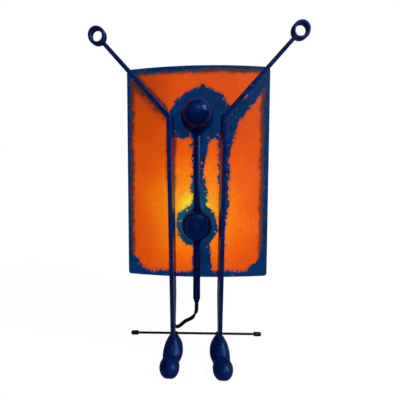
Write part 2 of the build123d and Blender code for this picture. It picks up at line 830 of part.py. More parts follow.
def quarter_turn(start, end, centre):
    """A quarter of a circle round a centre, in whatever plane the three points share."""
    middle = [c + (a - c + b - c) / sqrt(2) for a, b, c in zip(start, end, centre)]
    return ThreePointArc(start, tuple(middle), end)


def coil_path():
    """The cord goes round and in on the floor, climbs to the upper layer in one half turn, and goes out again."""
    edges = []
    low = cord_low
    high = cord_low + coil_lift
    halves = 2 * coil_turns - 1
    reach = [coil_outer - coil_pitch * i / 2 for i in range(halves)] + [coil_inner]
    stops = [(coil_x - (-1) ** i * reach[i], coil_y) for i in range(halves + 1)]
    edges.append(Line(coil_foot, coil_start))
    for one, two in zip(stops, stops[1:]):
        edges.append(half_turn((*one, low), (*two, low)))
    centre = (coil_x, coil_y, low + coil_lift / 2)
    bow = sqrt(coil_inner ** 2 + (coil_lift / 2) ** 2)
    foot = (*stops[-1], low)
    head = (2 * coil_x - stops[-1][0], coil_y, high)
    peak = (coil_x, coil_y - bow, low + coil_lift / 2)
    edges.append(quarter_turn(foot, peak, centre))
    edges.append(quarter_turn(peak, head, centre))
    outward = [(2 * coil_x - x, y) for x, y in reversed(stops)]
    for one, two in zip(outward[:-2], outward[1:-1]):
        edges.append(half_turn((*one, high), (*two, high)))
    last = (*outward[-2], high)
    middle = last[0] + coil_last
    way = radians(180 + coil_leave) / 2
    top = (middle + coil_last * cos(way), coil_y + coil_last * sin(way), high)
    edges.append(ThreePointArc(last, top, coil_end))
    edges.append(Line(coil_end, coil_exit))
    return edges


def coil_gap(edges):
    """The least gap between turns, measured on points of the cord's middle line."""
    spots = []
    far = 0.0
    for edge in edges:
        count = max(int(edge.length / 2), 2)
        for i in range(count):
            spots.append((edge @ (i / count), far + edge.length * i / count))
        far += edge.length
    least = 99.0
    for i, (one, at) in enumerate(spots):
        for two, there in spots[i + 1:]:
            if there - at < 40:
                continue
            wide = sqrt((one.X - two.X) ** 2 + (one.Y - two.Y) ** 2) - cord_thick
            tall = abs(one.Z - two.Z) - cord_width
            least = min(least, max(wide, tall))
    return least, far


def make_coil():
    edges = coil_path()
    least, length = coil_gap(edges)
    section = SlotOverall(cord_width, cord_thick, rotation=90)
    face = Plane(origin=coil_foot, x_dir=(1, 0, 0), z_dir=(0, 1, 0)) * section
    coil = sweep(face, Wire(edges))
    ideal = section.area * length
    print("coil least gap", round(least, 2), "length", round(length, 1))
    print("coil volume", round(coil.volume, 1), "ideal", round(ideal, 1))
    return coil


def plug_outline():
    half = plug_width / 2
    nose = plug_nose / 2
    points = [(0, -4.5), (9, -nose), (plug_length - 16, -half), (plug_length, -half)]
    points += [(px, -py) for px, py in reversed(points)]
    return fillet(make_face(Polyline(points, close=True)).vertices(), 2.5)


def make_plug():
    body = extrude(plug_outline(), plug_thick / 2, both=True)
    body = fillet([e for e in body.edges() if abs(e.center().Z) > plug_thick / 2 - 0.1], 2.0)
    body = Pos(*plug_back) * body
    for side in (-1, 1):
        body -= pin(side, plug_length - 8)
    return body


def pin(side, start):
    x = plug_back[0] + start
    y = plug_back[1] + side * pin_pitch / 2
    return crosswise(pin_dia / 2, y, plug_back[2], x, plug_back[0] + plug_length + pin_length)


def make_pins():
    pins = []
    for side in (-1, 1):
        one = pin(side, plug_length - 8)
        pins.append(fillet(one.edges().filter_by(GeomType.CIRCLE).sort_by(Axis.X)[-1], pin_dia * 0.35))
    return pins


# Everything in its place

hand = make_hand()
limb = make_limb(hand)
shoe = make_shoe(limb)
right_screws = [make_shoe_screw(), make_strap_screw()]


def pair(name, solid):
    parts[name + "_right"] = standing * solid
    parts[name + "_left"] = standing * mirrored(solid)


def group(name, place, solids):
    parts[name] = Compound([s for item in solids for s in (place * item).solids()])


def spot(name, place, solid):
    parts[name] = place * solid


pair("limb", limb)
pair("hand_ring", hand)
pair("shoe", shoe)
pair("sole_pad", make_sole())
spot("heel_strap_right", standing, make_strap(rod_turn))
spot("heel_strap_left", standing, mirrored(make_strap(-rod_turn)))
spot("rod_tip_right", standing, make_tip(1))
spot("rod_tip_left", standing, make_tip(-1))
spot("floor_rod", standing, make_rod())
group("shoe_screws", standing, [make_shoe_screw(), mirrored(make_shoe_screw())])
group("strap_screws", standing, [make_strap_screw(), mirrored(make_strap_screw())])
group("limb_screws", leaning, limb_screws(leg_spread) + limb_screws(-leg_spread))
spacers = limb_spacers(limb)
group("limb_spacers", standing, spacers + [mirrored(s) for s in spacers])
spot("screen", leaning, make_screen())
spot("back_plate", leaning, make_back_plate())
spot("spine_lower", leaning, spine_tube(spine_bottom, belly_height - belly_radius + tube_in))
spot("spine_upper", leaning, spine_tube(belly_height + belly_radius - tube_in, head_height - head_radius + tube_in))
spot("spine_cap", leaning, make_cap())
spot("belly_housing", leaning, make_housing())
spot("belly_base", leaning, make_base())
spot("belly_knob", leaning, make_knob())
spot("switch_body", leaning, make_switch())
spot("switch_shaft", leaning, make_shaft())
spot("switch_nut", leaning, level_nut(13, bush_dia, 0, belly_height, axis_y - belly_front - 2, 2))
spot("belly_nipple", leaning, make_nipple())
group("belly_nuts", leaning, make_belly_nuts())
spot("head_cup", leaning, make_head_cup())
spot("head_ball", leaning, make_ball())
spot("head_stud", leaning, make_stud())
group("head_nuts", leaning, make_head_nuts())
spot("bracket", leaning, make_bracket())
group("bracket_screws", leaning, make_bracket_screws())
spot("holder_shell", leaning, make_holder_shell())
spot("holder_insert", leaning, make_holder_insert())
spot("holder_sleeve", leaning, make_holder_sleeve())
spot("holder_contact", leaning, make_holder_contact())
spot("holder_nipple", leaning, make_holder_nipple())
group("holder_nuts", leaning, make_holder_nuts())
spot("bulb_glass", leaning, make_glass())
spot("bulb_cap", leaning, make_bulb_cap())
spot("bulb_stem", leaning, make_stem())

lead_low = spine_bottom - cap_length
lead_top = belly_height - switch_radius
spot("lead_spine", leaning, upright(lead_dia / 2, lead_top - lead_low, 0, axis_y, lead_low))
lamp_lead_points = [
    (0, axis_y, belly_height),
    (0, nipple_back + 3, belly_height),
    (-8, nipple_back + 9, belly_height - 8),
    (-16, nipple_back + 9, belly_height - 22),
    (-17, nipple_back + 12, (belly_height + shelf_height) / 2 - 18),
    (-16, bulb_back - 15, shelf_height - 14),
    (-11.3, bulb_back - 10.6, shelf_height - 20.4),
    (-4.7, bulb_back - 4.4, shelf_height - 20.4),
    (0, bulb_back, shelf_height - 14),
    (0, bulb_back, insert_bottom),
]
spot("lead_lamp", leaning, cord_tube(lamp_lead_points, lead_dia, "lamp lead"))
spot("cord", standing, cord_tube(cord_points, cord_width, "cord"))
spot("cord_coil", standing, make_coil())
spot("cord_end", standing, cord_tube(end_points, cord_width, "cord end"))
spot("plug_body", standing, make_plug())
group("plug_pins", standing, make_pins())

os.makedirs("parts", exist_ok=True)
for name, solid in parts.items():
    export_step(solid, "parts/" + name + ".step")
print(len(parts), "pieces, middle at", round(middle_y, 3))
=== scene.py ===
from math import cos, pi, radians, sin

import bmesh
import bpy
from mathutils import Matrix, Vector


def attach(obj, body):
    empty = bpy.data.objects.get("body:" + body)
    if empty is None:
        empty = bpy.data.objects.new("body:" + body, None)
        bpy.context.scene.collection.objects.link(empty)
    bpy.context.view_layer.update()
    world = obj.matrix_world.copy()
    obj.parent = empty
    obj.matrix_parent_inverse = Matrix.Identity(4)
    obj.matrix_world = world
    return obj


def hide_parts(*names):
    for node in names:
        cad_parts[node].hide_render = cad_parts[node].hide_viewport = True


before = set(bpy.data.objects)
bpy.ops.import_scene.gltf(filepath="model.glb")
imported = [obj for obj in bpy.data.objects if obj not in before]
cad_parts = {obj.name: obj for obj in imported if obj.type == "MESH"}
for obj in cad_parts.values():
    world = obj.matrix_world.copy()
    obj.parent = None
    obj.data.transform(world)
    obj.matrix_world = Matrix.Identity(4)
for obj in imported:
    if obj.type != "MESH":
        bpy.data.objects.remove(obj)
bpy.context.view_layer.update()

# Camera: it stands in front of the lamp, turned a little to the left, and looks down on it, as in the
# photograph. The origin is the middle of the footprint, so what is measured from the legs' front edges is
# shifted along Y.
footprint_middle = 0.0431
look_down = radians(12.90)
look_side = radians(3.29)
roll = radians(-0.47)
camera_place = Vector((0.0034, -0.3336 - footprint_middle, 0.2942))
ahead = Vector((-sin(look_side) * cos(look_down), cos(look_side) * cos(look_down), -sin(look_down)))
level_right = Vector((cos(look_side), sin(look_side), 0))
level_up = level_right.cross(ahead)
right = level_right * cos(roll) + level_up * sin(roll)
up = level_up * cos(roll) - level_right * sin(roll)
camera_turn = Matrix((right, up, -ahead)).transposed().to_4x4()
camera = bpy.data.objects.new("camera", bpy.data.cameras.new("camera"))
camera.matrix_world = Matrix.Translation(camera_place) @ camera_turn
camera.data.lens = 25.99
camera.data.sensor_width = 36.0
camera.data.shift_x = 0.0418
camera.data.shift_y = 0.0065
camera.data.clip_start = 0.01
bpy.context.scene.collection.objects.link(camera)
bpy.context.scene.camera = camera
bpy.context.scene.view_settings.view_transform = "Standard"


# Studio: a plain white sheet under soft light. Four panels that the gloss doesn't mirror give the even light,
# and two strips that only the gloss mirrors give the highlights on the head, the knob, the body tube and the
# toe caps.
class Sock:
    """A node's output, or a number, that can be used in sums."""

    def __init__(self, tree, value):
        self.tree = tree
        self.value = value

    def node(self, kind, settings=None, values=None):
        """Any node: its settings first, then the values or links of its sockets."""
        node = self.tree.nodes.new(kind)
        for key, value in (settings or {}).items():
            if key == "stops":
                ramp = node.color_ramp
                for spare in list(ramp.elements)[1:]:
                    ramp.elements.remove(spare)
                for i, (place, colour) in enumerate(value):
                    stop = ramp.elements[0] if i == 0 else ramp.elements.new(place)
                    stop.position = place
                    stop.color = (*colour, 1.0)
            else:
                setattr(node, key, value)
        for name, value in (values or {}).items():
            value = value.value if isinstance(value, Sock) else value
            socket = node.inputs[name]
            if isinstance(value, bpy.types.NodeSocket):
                self.tree.links.new(value, socket)
            elif isinstance(value, tuple) and len(value) == 3 and socket.type == "RGBA":
                socket.default_value = (*value, 1.0)
            else:
                socket.default_value = value
        return node

    def maths(self, operation, *values):
        node = self.node("ShaderNodeMath", {"operation": operation}, dict(enumerate(values)))
        return Sock(self.tree, node.outputs[0])

    def __add__(self, other):
        return self.maths("ADD", self, other)

    __radd__ = __add__

    def __sub__(self, other):
        return self.maths("SUBTRACT", self, other)

    def __rsub__(self, other):
        return self.maths("SUBTRACT", other, self)

    def __mul__(self, other):
        return self.maths("MULTIPLY", self, other)

    __rmul__ = __mul__

    def __truediv__(self, other):
        return self.maths("DIVIDE", self, other)

    def __rtruediv__(self, other):
        return self.maths("DIVIDE", other, self)

    def __pow__(self, other):
        return self.maths("POWER", self, other)

    def __abs__(self):
        return self.maths("ABSOLUTE", self)

    def least(self, other):
        return self.maths("MINIMUM", self, other)

    def most(self, *others):
        out = self
        for other in others:
            out = self.maths("MAXIMUM", out, other)
        return out

    def rise(self, low, high):
        """0 below low, 1 above high and smooth between; the other way round if high is below low."""
        flip = high < low
        settings = {"interpolation_type": "SMOOTHSTEP"}
        values = {"Value": self, "From Min": min(low, high), "From Max": max(low, high)}
        out = Sock(self.tree, self.node("ShaderNodeMapRange", settings, values).outputs["Result"])
        return 1.0 - out if flip else out


# The screen, the body tube and the knobs lean back as one, from where the screen's slope meets the floor.
lean = radians(9.5)
screen_foot = 0.0294 - footprint_middle


class Finish(Sock):
    """A material: one shader, and the nodes that several finishes share."""

    def __init__(self, name, **constants):
        self.material = bpy.data.materials.new(name)
        self.material.use_nodes = True
        super().__init__(self.material.node_tree, 0.0)
        self.tree.nodes.clear()
        self.shader = self.node("ShaderNodeBsdfPrincipled")
        for key, value in constants.items():
            self.shader.inputs[key.replace("_", " ")].default_value = value
        output = self.node("ShaderNodeOutputMaterial")
        self.tree.links.new(self.shader.outputs[0], output.inputs["Surface"])
        self.place = Sock(self.tree, self.node("ShaderNodeTexCoord").outputs["Object"])

    def mapped(self, scale, place=None):
        values = {"Vector": place or self.place, "Scale": scale}
        return Sock(self.tree, self.node("ShaderNodeMapping", None, values).outputs[0])

    def on_sheet(self):
        """Places across the screen, behind its front face and up its slope."""
        values = {"Vector": self.place, "Location": (0, screen_foot, 0), "Rotation": (-lean, 0, 0)}
        return Sock(self.tree, self.node("ShaderNodeMapping", {"vector_type": "TEXTURE"}, values).outputs[0])

    def axes(self, place=None):
        """The three numbers of a place, in millimetres."""
        values = {0: place or self.place, "Scale": 1000.0}
        scaled = self.node("ShaderNodeVectorMath", {"operation": "SCALE"}, values)
        node = self.node("ShaderNodeSeparateXYZ", None, {0: scaled.outputs[0]})
        return [Sock(self.tree, out) for out in node.outputs]

    def noise(self, scale, detail=2.0, roughness=0.5, place=None):
        values = {"Vector": place or self.place, "Scale": scale, "Detail": detail, "Roughness": roughness}
        return Sock(self.tree, self.node("ShaderNodeTexNoise", None, values).outputs[0])

    def cells(self, scale, place=None):
        """The distance to the middle of the nearest of many scattered cells."""
        values = {"Vector": place or self.place, "Scale": scale}
        return Sock(self.tree, self.node("ShaderNodeTexVoronoi", None, values).outputs["Distance"])

    def mix(self, part, one, two):
        """A colour between two."""
        node = self.node("ShaderNodeMix", {"data_type": "RGBA"}, {0: part, 6: one, 7: two})
        return Sock(self.tree, node.outputs[2])

    def ramp(self, part, *stops):
        node = self.node("ShaderNodeValToRGB", {"stops": stops}, {0: part})
        return Sock(self.tree, node.outputs[0])

    def link(self, **sockets):
        for name, value in sockets.items():
            self.tree.links.new(value.value, self.shader.inputs[name.replace("_", " ")])

    def bump(self, height, depth):
        node = self.node("ShaderNodeBump", None, {"Height": height, "Distance": depth})
        self.tree.links.new(node.outputs[0], self.shader.inputs["Normal"])

    def onto(self, *names):
        """Gives the finish to CAD nodes."""
        for name in names:
            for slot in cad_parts[name].material_slots:
                slot.material = self.material


# The sheet glows for the camera alone, a little less round the lamp, and only sends the panels' light back.
paper = Finish("studio_paper", Roughness=0.9, Specular_IOR_Level=0.0, Emission_Strength=1.0)
paper_x, paper_y = paper.axes()[:2]
far_out = ((paper_x ** 2.0 + paper_y ** 2.0) ** 0.5).rise(250.0, 1100.0)
light_path = paper.node("ShaderNodeLightPath")
to_camera = Sock(paper.tree, light_path.outputs["Is Camera Ray"])
in_gloss = Sock(paper.tree, light_path.outputs["Is Glossy Ray"])
glow = paper.mix(far_out, (0.95, 0.95, 0.95), (1.0, 1.0, 1.0))
paper.link(Emission_Color=paper.mix(to_camera, (0.0, 0.0, 0.0), glow))
sent_back = paper.mix(in_gloss, (0.75, 0.75, 0.75), (0.26, 0.25, 0.25))
paper.link(Base_Color=paper.mix(to_camera, sent_back, (0.06, 0.06, 0.06)))
floor_reach = 6.0
floor_corners = [(x * floor_reach, y * floor_reach, 0) for x, y in ((-1, -1), (1, -1), (1, 1), (-1, 1))]
floor_mesh = bpy.data.meshes.new("floor")
floor_mesh.from_pydata(floor_corners, [], [(0, 1, 2, 3)])
floor_mesh.materials.append(paper.material)
floor = bpy.data.objects.new("floor", floor_mesh)
bpy.context.scene.collection.objects.link(floor)

world = bpy.data.worlds.new("studio")
bpy.context.scene.world = world
world.use_nodes = True
room = Sock(world.node_tree, 0.0)
room_seen = room.node("ShaderNodeLightPath").outputs["Is Camera Ray"]
room_colours = {0: room_seen, 6: (0.05, 0.06, 0.08), 7: (1.0, 1.0, 1.0)}
air = room.node("ShaderNodeMix", {"data_type": "RGBA"}, room_colours)
world.node_tree.links.new(air.outputs[2], world.node_tree.nodes["Background"].inputs["Color"])
lamp_middle = Vector((0, 0, 0.2))


def panel(name, place, width, height, power, colour, mirrored=False):
    """A light that faces the lamp and either lights or is mirrored, not both."""
    light = bpy.data.lights.new(name, "AREA")
    light.shape = "RECTANGLE"
    light.size = width
    light.size_y = height
    light.energy = power
    light.color = colour
    stand = bpy.data.objects.new(name, light)
    stand.location = place
    stand.rotation_euler = (lamp_middle - Vector(place)).to_track_quat("-Z", "Y").to_euler()
    stand.visible_glossy = mirrored
    stand.visible_diffuse = not mirrored
    stand.visible_camera = False
    bpy.context.scene.collection.objects.link(stand)


cool = (0.93, 0.97, 1.0)
panel("front_panel", (-0.3, -1.9, 1.5), 1.8, 1.4, 15.0, (0.95, 0.97, 1.0))
panel("rear_panel", (-0.6, 1.8, 1.3), 1.6, 1.2, 14.0, (1.0, 0.98, 0.95))
panel("high_panel", (1.10, -0.35, 0.90), 0.34, 0.5, 20.0, cool)
panel("top_panel", (0.10, -0.85, 1.25), 0.6, 0.3, 7.0, cool)
panel("side_strip", (1.10, -0.30, 0.85), 0.20, 1.1, 55.0, cool, mirrored=True)
panel("top_strip", (0.26, -0.95, 1.25), 0.14, 0.6, 9.0, cool, mirrored=True)

# Cord: flat black two-core flex, 5.4 by 2.7 mm. It leaves the end of the body tube flat side forward, twists
# onto its edge, comes down behind the left heel and runs back to the coil that stores the rest, with the plug
# beside it.
cord_width = 0.0054
cord_thick = 0.0027
tube_front = 0.007
tube_foot = 0.0656
straight_out = 0.010


def on_slope(across, behind, height):
    """A point given from the screen: across it, behind its front face and up its slope."""
    y = screen_foot + height * sin(lean) + behind * cos(lean)
    return Vector((across, y, height * cos(lean) - behind * sin(lean)))


def from_legs(x, y, z):
    """A point in millimetres, given from the legs' front edges."""
    return Vector((x / 1000, y / 1000 - footprint_middle, z / 1000))


tube_end = on_slope(0, -tube_front, tube_foot)
coil_x = -20.2
coil_y = 284.0
coil_outer = 32.3
coil_pitch = 3.2
coil_lift = 5.9
coil_turns = 4
coil_tail = 12.0
coil_inner = coil_outer - coil_pitch * coil_turns
leave = radians(45.0)
low = cord_width / 2 * 1000
high = low + coil_lift
free_points = [
    tube_end,
    on_slope(0, -tube_front, tube_foot - straight_out),
    from_legs(-0.5, 34.0, 50.5),
    from_legs(-3.6, 37.0, 40.8),
    from_legs(-9.0, 41.5, 33.2),
    from_legs(-17.3, 47.5, 25.2),
    from_legs(-25.0, 53.5, 12.6),
    from_legs(-33.0, 61.5, 3.4),
    from_legs(-37.0, 80.0, low),
    from_legs(-39.2, 108.0, low),
    from_legs(-42.4, 150.0, low),
    from_legs(-48.4, 208.0, low),
    from_legs(coil_x - coil_outer, 246.0, low),
    from_legs(coil_x - coil_outer, coil_y - coil_tail, low),
]
points_a_half = 10
points_in_last = 7
climb_bulge = 1.01


def half_turn(start, end, z, count=points_a_half):
    """The points of half a turn between two places on the coil's middle line."""
    middle = (start + end) / 2
    side = 1 if end > start else -1
    radius = abs(end - start) / 2 / cos(pi / (2 * points_a_half))
    angles = [pi * (k + 0.5) / points_a_half for k in range(count)]
    return [from_legs(middle - side * radius * cos(a), coil_y + side * radius * sin(a), z) for a in angles]


# The turns go round and in on the floor, climb in the innermost half turn, and go round and out on top.
half_turns = 2 * coil_turns - 1
stops = [coil_x - (-1) ** i * (coil_outer - coil_pitch * i / 2) for i in range(half_turns)]
stops.append(coil_x + coil_inner)
coil_points = []
for start, end in zip(stops, stops[1:]):
    coil_points += half_turn(start, end, low)
for k in range(points_a_half):
    angle = pi * (k + 0.5) / points_a_half
    across = coil_inner * cos(angle) * climb_bulge
    back = coil_inner * sin(angle) * climb_bulge
    coil_points.append(from_legs(coil_x + across, coil_y - back, low + coil_lift * (1 - cos(angle)) / 2))
outward = [2 * coil_x - x for x in reversed(stops)]
for start, end in zip(outward[:-2], outward[1:-1]):
    coil_points += half_turn(start, end, high)
coil_points += half_turn(outward[-2], coil_x + coil_outer, high, points_in_last)

last_radius = coil_outer - coil_pitch / 4
exit_x = coil_x + coil_pitch / 4 + last_radius * cos(leave) + coil_tail * sin(leave)
exit_y = coil_y + last_radius * sin(leave) - coil_tail * cos(leave)
end_points = [
    from_legs(exit_x, exit_y, high),
    from_legs(exit_x + 5.8, exit_y - 5.8, high),
    from_legs(26.0, 288.6, 7.0),
    from_legs(37.0, 288.6, 7.0),
]
cord_points = free_points + coil_points + end_points
cord_curve = bpy.data.curves.new("cord_line", "CURVE")
cord_curve.dimensions = "3D"
cord_curve.resolution_u = 6
cord_spline = cord_curve.splines.new("NURBS")
cord_spline.points.add(len(cord_points) - 1)
for point, place in zip(cord_spline.points, cord_points):
    point.co = (*place, 1.0)
cord_spline.order_u = 3
cord_spline.use_endpoint_u = True
cord_line = bpy.data.objects.new("cord_line", cord_curve)
bpy.context.scene.collection.objects.link(cord_line)
line_mesh = bpy.data.meshes.new_from_object(cord_line.evaluated_get(bpy.context.evaluated_depsgraph_get()))
cord_path = [v.co.copy() for v in line_mesh.vertices]
bpy.data.objects.remove(cord_line)
bpy.data.meshes.remove(line_mesh)

# Which way the flat side's width points, by distance from the tube in metres.
width_ways = [
    (0.000, (1, 0, 0)),
    (0.016, (1, 0.15, 0)),
    (0.023, (0.1, 1, -0.1)),
    (0.030, (-0.45, 0.15, 0.88)),
    (0.055, (-0.5, 0.2, 0.85)),
    (0.078, (0, 0, 1)),
]


def width_way(far):
    """The way that the width points at a distance along the cord: on its edge past the last of the list."""
    for (near_end, near_way), (far_end, far_way) in zip(width_ways, width_ways[1:]):
        if far <= far_end:
            part = (far - near_end) / (far_end - near_end)
            part = part * part * (3 - 2 * part)
            return Vector(near_way).normalized() * (1 - part) + Vector(far_way).normalized() * part
    return Vector((0, 0, 1))


# The section is two round cores with a shallow groove between them.
core = cord_thick / 2
core_middle = (cord_width - cord_thick) / 2
section = [(core_middle + core * cos(radians(a)), core * sin(radians(a))) for a in range(-120, 121, 30)]
section += [(-across, -through) for across, through in section]
shape = bmesh.new()
rings = []
far = 0.0
for i, spot in enumerate(cord_path):
    before = cord_path[max(i - 1, 0)]
    after = cord_path[min(i + 1, len(cord_path) - 1)]
    far += (spot - before).length
    along = (after - before).normalized()
    wide = width_way(far)
    wide = (wide - along * wide.dot(along)).normalized()
    thick = along.cross(wide)
    rings.append([shape.verts.new(spot + wide * across + thick * through) for across, through in section])
sides = len(section)
for one, two in zip(rings, rings[1:]):
    for k in range(sides):
        shape.faces.new((one[k], one[(k + 1) % sides], two[(k + 1) % sides], two[k]))
shape.faces.new(list(reversed(rings[0])))
shape.faces.new(rings[-1])
bmesh.ops.recalc_face_normals(shape, faces=shape.faces)


def make_piece(name, mesh, finish, body):
    """A finished mesh as a piece that rides on a body."""
    mesh.materials.clear()
    mesh.materials.append(finish.material)
    for face in mesh.polygons:
        face.use_smooth = True
    piece = bpy.data.objects.new(name, mesh)
    bpy.context.scene.collection.objects.link(piece)
    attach(piece, body)
    return piece


flex_mesh = bpy.data.meshes.new("flex")
shape.to_mesh(flex_mesh)
shape.free()
flex_finish = Finish("flex_vinyl", Specular_IOR_Level=0.15)
rubbed = flex_finish.noise(70.0, 4.0).rise(0.45, 0.75)
drawn = flex_finish.noise(900.0, 2.0)
flex_finish.link(Base_Color=flex_finish.mix(rubbed, (0.0010, 0.0010, 0.0014), (0.005, 0.005, 0.006)))
flex_finish.link(Roughness=0.34 + 0.16 * rubbed + 0.06 * drawn)
flex_finish.bump(drawn, 0.00003)
flex = make_piece("flex", flex_mesh, flex_finish, "base")
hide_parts("cord", "cord_coil", "cord_end")

# Plug: a moulded black two-pin plug. The body is one moulding of hard vinyl with a fine spark-eroded skin,
# and the pins are nickel-plated brass, black-sleeved near the body.
plug_finish = Finish("plug_moulding", Specular_IOR_Level=0.45)
spark = plug_finish.noise(1800.0, 3.0)
handled = plug_finish.noise(90.0, 3.0).rise(0.4, 0.7)
plug_finish.link(Base_Color=plug_finish.mix(handled, (0.006, 0.006, 0.0065), (0.014, 0.014, 0.015)))
plug_finish.link(Roughness=0.42 + 0.15 * spark)
plug_finish.bump(spark, 0.00006)
plug_finish.onto("plug_body")
pin_finish = Finish("plug_pin_plating")
sleeve_end = 84.0
bare_metal = pin_finish.axes()[0].rise(sleeve_end, sleeve_end + 0.4)
scratch = pin_finish.noise(400.0, 3.0, place=pin_finish.mapped((0.1, 1, 1)))
pin_finish.link(Base_Color=pin_finish.mix(bare_metal, (0.008, 0.008, 0.008), (0.62, 0.58, 0.50)))
pin_finish.link(Metallic=bare_metal, Roughness=0.22 + 0.25 * scratch)
pin_finish.onto("plug_pins")


# Limbs: two flat steel bars on edge, bent once at the shoulder so that each is a leg and a raised arm. They
# are dipped in deep blue gloss enamel, thin on the edges, with small chips; screws through the back plate
# hold them.
def blue_enamel(name, gloss, worn=None):
    """Deep blue gloss enamel over dark primer, with orange peel, brush-thin places and pin chips."""
    finish = Finish(name, Specular_IOR_Level=gloss, Specular_Tint=(0.15, 0.40, 1.0, 1.0))
    cloud = finish.noise(38.0, 3.0)
    peel = finish.noise(420.0, 2.0)
    fine = finish.noise(1500.0, 2.0)
    blue = finish.mix(cloud.rise(0.3, 0.7), (0.0004, 0.0044, 0.042), (0.0007, 0.0070, 0.062))
    chips = finish.noise(520.0, 1.0).rise(0.76, 0.80) * finish.noise(55.0, 2.0).rise(0.46, 0.58)
    if worn:
        edges = worn(finish)
        thin = edges * finish.noise(160.0, 4.0).rise(0.42, 0.62)
        blue = finish.mix(thin * 0.6, blue, (0.0030, 0.0130, 0.070))
        chips = chips.most(edges * finish.noise(330.0, 3.0).rise(0.66, 0.70))
    finish.link(Base_Color=finish.mix(chips, blue, (0.040, 0.038, 0.042)))
    finish.link(Roughness=0.30 + 0.16 * cloud + 0.25 * chips)
    finish.bump(peel * 0.7 + fine * 0.3 - chips * 0.8, 0.00007)
    return finish


def limb_edges(finish):
    """The bar's front edge and the edges of its outer side, where the enamel pulls away."""
    x, y = finish.axes()[:2]
    front = abs(y + footprint_middle * 1000).rise(0.9, 0.2)
    outer = abs(x).rise(33.7, 34.2)
    return front.most(outer * 0.6)


blue_enamel("limb_enamel", 0.16, limb_edges).onto("limb_left", "limb_right")

# Hands: cast steel rings with rounded edges, one at the end of each arm. They are welded on, ground smooth at
# the joint and enamelled with the limbs.
ring_x = 107.3
ring_z = 400.3


def ring_bores(finish):
    """The rings' inner sides, where a hook rubs."""
    x, _, z = finish.axes()
    from_middle = ((abs(x) - ring_x) ** 2.0 + (z - ring_z) ** 2.0) ** 0.5
    return from_middle.rise(7.6, 5.8)


blue_enamel("ring_enamel", 0.2, ring_bores).onto("hand_ring_left", "hand_ring_right")

# Fixings: zinc-plated screws, nuts and spacers, the head's stud and the hollow nipples that the leads pass
# through. The limbs' four screws run from the back plate, each through a spacer, into tapped holes in the
# bars.
zinc = Finish("zinc_plate", Metallic=1.0)
passivated = zinc.noise(260.0, 3.0)
dull = zinc.noise(45.0, 3.0).rise(0.4, 0.7)
zinc.link(Base_Color=zinc.mix(passivated, (0.42, 0.43, 0.45), (0.60, 0.58, 0.52)))
zinc.link(Roughness=0.26 + 0.2 * dull + 0.1 * passivated)
zinc.bump(passivated, 0.00003)
zinc.onto("limb_screws", "limb_spacers", "shoe_screws", "strap_screws", "bracket_screws", "switch_nut")
zinc.onto("belly_nipple", "belly_nuts", "head_stud", "head_nuts", "holder_nipple", "holder_nuts")


# Shoes: solid cast resin, one for each leg, with a round toe cap, a pinched waist and a slot that takes the
# leg. They and the steel heel straps have the same enamel, rubbed on the toe caps, and the shoes stand on
# thin black rubber pads.
def toe_caps(finish):
    """The tops of the toe caps."""
    y, z = finish.axes()[1:]
    return y.rise(-62.0, -74.0) * z.rise(9.0, 14.0) * 0.5


shoe_enamel = blue_enamel("shoe_enamel", 0.11, toe_caps)
shoe_enamel.onto("shoe_left", "shoe_right", "heel_strap_left", "heel_strap_right")
pad_rubber = Finish("sole_rubber", Specular_IOR_Level=0.3)
crumb = pad_rubber.noise(900.0, 3.0)
pad_rubber.link(Base_Color=pad_rubber.mix(crumb, (0.006, 0.006, 0.006), (0.018, 0.017, 0.016)))
pad_rubber.link(Roughness=0.62 + 0.2 * crumb)
pad_rubber.bump(crumb, 0.0001)
pad_rubber.onto("sole_pad_left", "sole_pad_right")

# Rod: a black-lacquered steel rod that lies behind the heels, in the eyes of the two heel straps. It stops
# the lamp from tipping back, and moulded rubber tips keep it from marking the table.
rod_lacquer = Finish("rod_lacquer", Specular_IOR_Level=0.15)
drawn_rod = rod_lacquer.noise(500.0, 3.0, place=rod_lacquer.mapped((0.06, 1, 1)))
rod_worn = rod_lacquer.noise(60.0, 4.0).rise(0.55, 0.72)
rod_lacquer.link(Base_Color=rod_lacquer.mix(rod_worn, (0.0015, 0.0015, 0.002), (0.006, 0.005, 0.005)))
rod_lacquer.link(Roughness=0.45 + 0.2 * drawn_rod)
rod_lacquer.bump(drawn_rod, 0.00003)
rod_lacquer.onto("floor_rod")
tip_rubber = Finish("tip_rubber", Specular_IOR_Level=0.12)
tip_skin = tip_rubber.noise(1300.0, 3.0)
tip_rubber.link(Base_Color=tip_rubber.mix(tip_skin, (0.0015, 0.0015, 0.0015), (0.005, 0.005, 0.005)))
tip_rubber.link(Roughness=0.5 + 0.2 * tip_skin)
tip_rubber.bump(tip_skin, 0.00008)
tip_rubber.onto("rod_tip_left", "rod_tip_right")

# Screen: one sheet of cast translucent resin, orange and hand-stained navy, rolled on a wide curve. Its glow
# from the bulb behind it is painted on as emission. The stain is generic: it runs in along the edges, pools
# behind the head, the body tube and the knob, and follows the right limb; beside the left limb there is only
# a painted soft shade.
resin_tint = (0.2, 0.6, 1.0, 1.0)
screen = Finish("screen_resin", Specular_IOR_Level=0.03, Specular_Tint=resin_tint, Emission_Strength=1.0)
sheet_place = screen.on_sheet()
sheet_x, sheet_y, sheet_z = screen.axes(sheet_place)
sheet_bend = 454.0
half_chord = 101.0
sheet_low = 99.6
sheet_top = 394.6
head_z = 322.0
belly_z = 173.5
bulb_z = 197.0
through_sheet = sheet_bend - (sheet_x ** 2.0 + (sheet_bend - sheet_y) ** 2.0) ** 0.5
from_left = half_chord + sheet_x
from_right = half_chord - sheet_x
from_top = sheet_top - sheet_z
from_low = sheet_z - sheet_low

